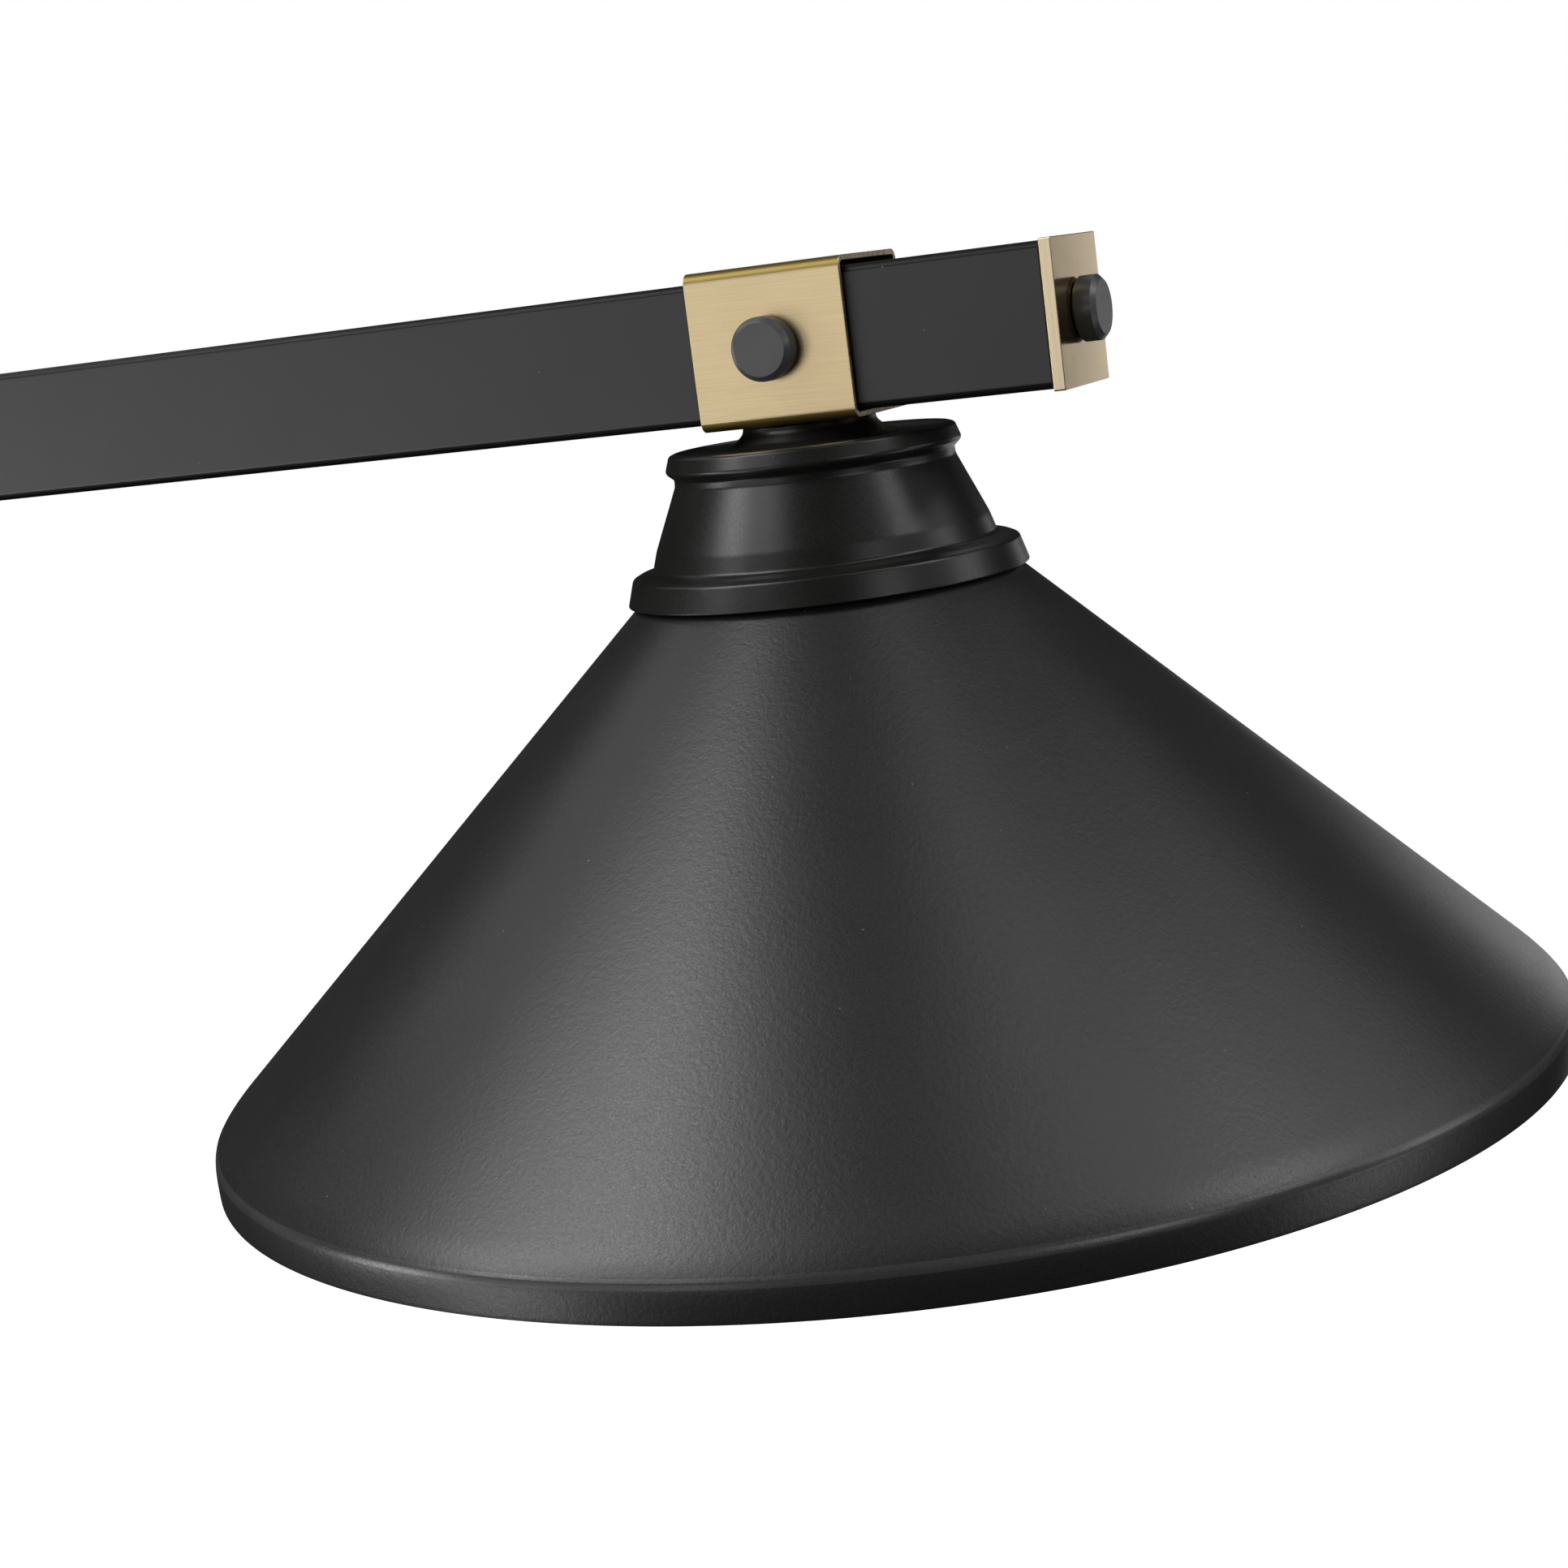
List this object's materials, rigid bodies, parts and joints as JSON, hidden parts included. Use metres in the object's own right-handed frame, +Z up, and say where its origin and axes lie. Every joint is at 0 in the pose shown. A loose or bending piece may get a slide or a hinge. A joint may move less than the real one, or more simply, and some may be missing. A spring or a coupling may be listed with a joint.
{
  "type": "pool table lamp",
  "caption": "Linear billiard table light: black cone shades under bell collars on a square bar with brass sleeves and end plates, hung from a canopy by stems on ball swivels.",
  "frame": {"origin": "middle of the ceiling plane, on top of the ceiling strap", "axes": "+X along the bar, -Y towards the front with the sleeve knobs, +Z up"},
  "size_m": [1.5494, 0.381, 0.7678],
  "materials": {
    "black_powder": "matte black powder coat with a faint orange peel",
    "black_satin": "satin black over fine turning marks",
    "knob_black": "matte black",
    "brushed_brass": "satin brass, brushed along its length",
    "zinc_steel": "bright zinc plating",
    "phenolic": "black moulded resin",
    "bulb_white": "opal white globe and housing"
  },
  "bodies": {
    "ceiling": {"canopy_pan": "black_powder", "ceiling_strap": "zinc_steel", "swivel_seat_left": "black_satin", "swivel_seat_right": "black_satin", "canopy_stud_left_rod": "zinc_steel", "canopy_stud_right_rod": "zinc_steel", "stud_nut_left": "zinc_steel", "stud_nut_right": "zinc_steel", "cap_nut_left": "brushed_brass", "cap_nut_right": "brushed_brass"},
    "lamp_frame": {"bar_tube": "black_powder", "shade_left": "black_powder", "shade_centre": "black_powder", "shade_right": "black_powder", "stem_lower_left": "black_powder", "stem_lower_right": "black_powder", "stem_upper_left": "black_powder", "stem_upper_right": "black_powder", "collar_left": "black_satin", "collar_centre": "black_satin", "collar_right": "black_satin", "stem_foot_left": "black_satin", "stem_foot_right": "black_satin", "stem_coupler_left": "black_satin", "stem_coupler_right": "black_satin", "sleeve_left": "brushed_brass", "sleeve_centre": "brushed_brass", "sleeve_right": "brushed_brass", "end_plate_left": "brushed_brass", "end_plate_right": "brushed_brass", "swivel_ball_left": "brushed_brass", "swivel_ball_right": "brushed_brass", "end_insert_left": "zinc_steel", "end_insert_right": "zinc_steel", "nipple_left": "zinc_steel", "nipple_centre": "zinc_steel", "nipple_right": "zinc_steel", "nipple_nut_left": "zinc_steel", "nipple_nut_centre": "zinc_steel", "nipple_nut_right": "zinc_steel", "stem_nut_left": "zinc_steel", "stem_nut_right": "zinc_steel", "lampholder_left": "phenolic", "lampholder_centre": "phenolic", "lampholder_right": "phenolic"},
    "sleeve_knob_left_body": {"sleeve_knob_left": "knob_black"},
    "sleeve_knob_centre_body": {"sleeve_knob_centre": "knob_black"},
    "sleeve_knob_right_body": {"sleeve_knob_right": "knob_black"},
    "end_knob_left_body": {"end_knob_left": "knob_black"},
    "end_knob_right_body": {"end_knob_right": "knob_black"},
    "shade_ring_left_body": {"shade_ring_left": "phenolic"},
    "shade_ring_centre_body": {"shade_ring_centre": "phenolic"},
    "shade_ring_right_body": {"shade_ring_right": "phenolic"},
    "bulb_left_body": {"bulb_left": "bulb_white"},
    "bulb_centre_body": {"bulb_centre": "bulb_white"},
    "bulb_right_body": {"bulb_right": "bulb_white"}
  },
  "joints": [
    {"name": "lamp_swing", "type": "hinge", "parent": "ceiling", "child": "lamp_frame", "pos_m": [0, 0, -0.024], "axis": [1, 0, 0], "range_deg": [-20, 20]},
    {"name": "sleeve_knob_left_turn", "type": "hinge", "parent": "lamp_frame", "child": "sleeve_knob_left_body", "pos_m": [-0.5842, -0.0217, -0.56], "axis": [0, -1, 0], "range_deg": [0, 900]},
    {"name": "sleeve_knob_centre_turn", "type": "hinge", "parent": "lamp_frame", "child": "sleeve_knob_centre_body", "pos_m": [0, -0.0217, -0.56], "axis": [0, -1, 0], "range_deg": [0, 900]},
    {"name": "sleeve_knob_right_turn", "type": "hinge", "parent": "lamp_frame", "child": "sleeve_knob_right_body", "pos_m": [0.5842, -0.0217, -0.56], "axis": [0, -1, 0], "range_deg": [0, 900]},
    {"name": "end_knob_left_turn", "type": "hinge", "parent": "lamp_frame", "child": "end_knob_left_body", "pos_m": [-0.66495, 0, -0.56], "axis": [-1, 0, 0], "range_deg": [0, 900]},
    {"name": "end_knob_right_turn", "type": "hinge", "parent": "lamp_frame", "child": "end_knob_right_body", "pos_m": [0.66495, 0, -0.56], "axis": [1, 0, 0], "range_deg": [0, 900]},
    {"name": "shade_ring_left_turn", "type": "hinge", "parent": "lamp_frame", "child": "shade_ring_left_body", "pos_m": [-0.5842, 0, -0.6314], "axis": [0, 0, -1], "range_deg": [0, 900]},
    {"name": "shade_ring_centre_turn", "type": "hinge", "parent": "lamp_frame", "child": "shade_ring_centre_body", "pos_m": [0, 0, -0.6314], "axis": [0, 0, -1], "range_deg": [0, 900]},
    {"name": "shade_ring_right_turn", "type": "hinge", "parent": "lamp_frame", "child": "shade_ring_right_body", "pos_m": [0.5842, 0, -0.6314], "axis": [0, 0, -1], "range_deg": [0, 900]},
    {"name": "bulb_left_turn", "type": "hinge", "parent": "lamp_frame", "child": "bulb_left_body", "pos_m": [-0.5842, 0, -0.6566], "axis": [0, 0, -1], "range_deg": [0, 1260]},
    {"name": "bulb_centre_turn", "type": "hinge", "parent": "lamp_frame", "child": "bulb_centre_body", "pos_m": [0, 0, -0.6566], "axis": [0, 0, -1], "range_deg": [0, 1260]},
    {"name": "bulb_right_turn", "type": "hinge", "parent": "lamp_frame", "child": "bulb_right_body", "pos_m": [0.5842, 0, -0.6566], "axis": [0, 0, -1], "range_deg": [0, 1260]}
  ]
}
